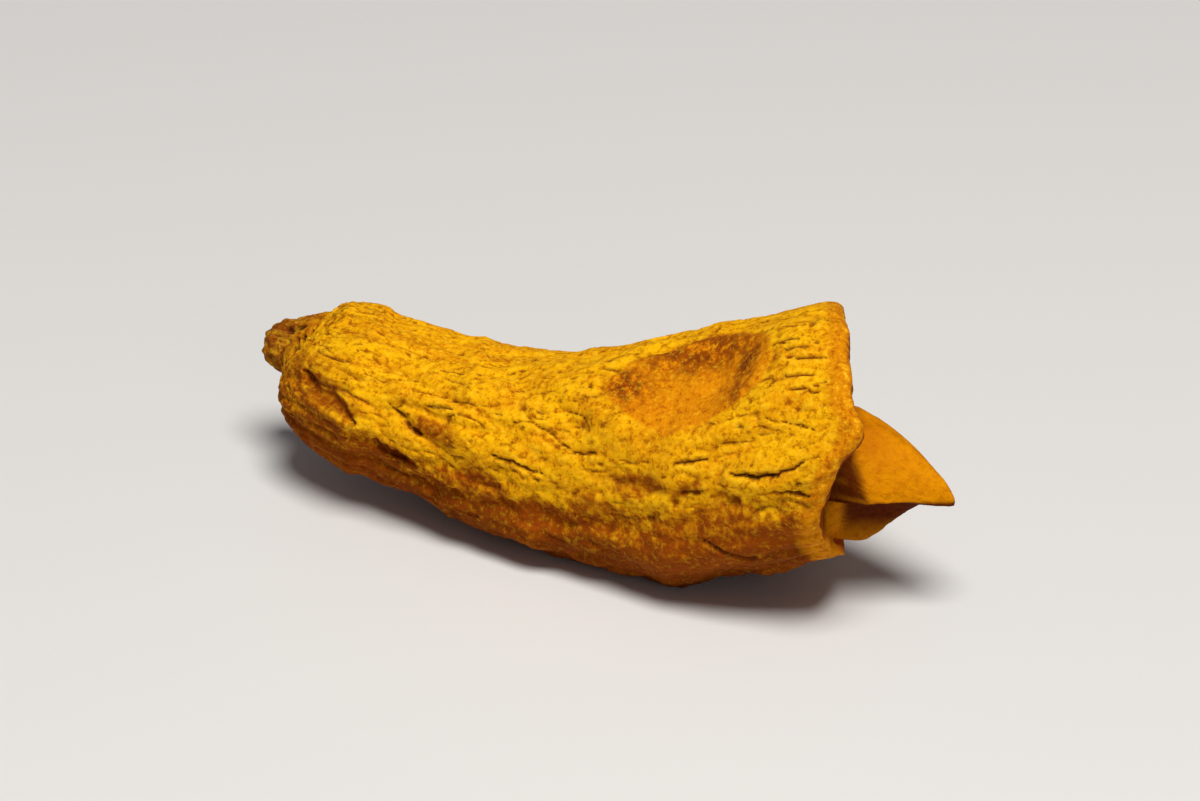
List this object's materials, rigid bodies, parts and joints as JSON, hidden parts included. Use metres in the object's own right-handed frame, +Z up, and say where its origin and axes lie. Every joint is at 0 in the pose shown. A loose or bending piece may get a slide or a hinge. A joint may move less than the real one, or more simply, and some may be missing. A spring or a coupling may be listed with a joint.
{
  "type": "turmeric root",
  "caption": "Dried turmeric finger: one knobbly tapering rhizome with a bud on its tip, an oval shoot scar and a snapped end with its core standing out. Rests flat on its belly.",
  "frame": {"origin": "on the surface that the root lies on, under the middle of its length and width", "axes": "+X along the root from its growing tip to its broken end, +Z up from the surface, -Y towards the side with the shoot scar"},
  "size_m": [0.0516, 0.0186, 0.0204],
  "materials": {
    "dried_skin": "dry, powdery and matte, deep yellow"
  },
  "bodies": {
    "root": {"turmeric_root": "dried_skin"}
  },
  "joints": []
}
